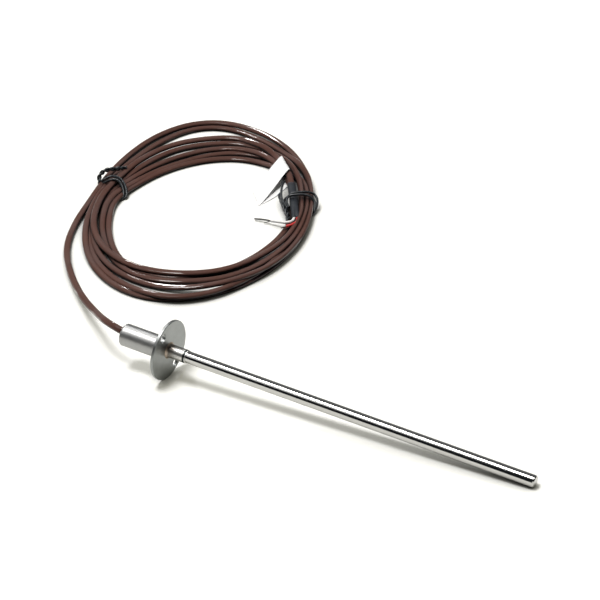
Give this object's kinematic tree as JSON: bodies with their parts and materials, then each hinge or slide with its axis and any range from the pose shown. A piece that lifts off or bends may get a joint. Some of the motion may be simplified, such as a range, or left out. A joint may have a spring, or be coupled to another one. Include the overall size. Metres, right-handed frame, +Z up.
{
  "type": "thermocouple probe",
  "caption": "Straight polished steel temperature probe with a closed tip, a round bolted flange, a short back housing and a tied coil of flat cable.",
  "frame": {"origin": "on the table under the middle of the probe, without the cable", "axes": "+X along the probe over the table, from the housing to the tip; +Z up; the cable's coil lies on the +Y side"},
  "size_m": [0.3581, 0.2846, 0.0318],
  "materials": {
    "polished_steel": "mirror polished",
    "satin_steel": "satin, turned",
    "ceramic": "matt",
    "element_wire": "drawn wire",
    "splice_metal": "satin",
    "bare_wire": "stranded, bright",
    "white_insulation": "smooth",
    "red_insulation": "smooth",
    "potting_resin": "cast",
    "cable_jacket": "glossy",
    "sleeve_plastic": "satin",
    "label_paper": "matt",
    "tie_plastic": "satin"
  },
  "bodies": {
    "root": {"sheath": "polished_steel", "collar": "satin_steel", "flange": "satin_steel", "housing": "satin_steel", "insulator": "ceramic", "positive_element": "element_wire", "negative_element": "element_wire", "junction_bead": "element_wire", "positive_splice": "splice_metal", "negative_splice": "splice_metal", "positive_conductor": "bare_wire", "negative_conductor": "bare_wire", "white_conductor_end": "bare_wire", "red_conductor_end": "bare_wire", "white_lead": "white_insulation", "white_lead_end": "white_insulation", "red_lead": "red_insulation", "red_lead_end": "red_insulation", "potting": "potting_resin", "cable_lead": "cable_jacket", "cable_coil": "cable_jacket", "cable_tail": "cable_jacket", "shrink_sleeve": "sleeve_plastic", "marker_flag": "label_paper", "left_tie": "tie_plastic", "right_tie": "tie_plastic"}
  },
  "joints": []
}
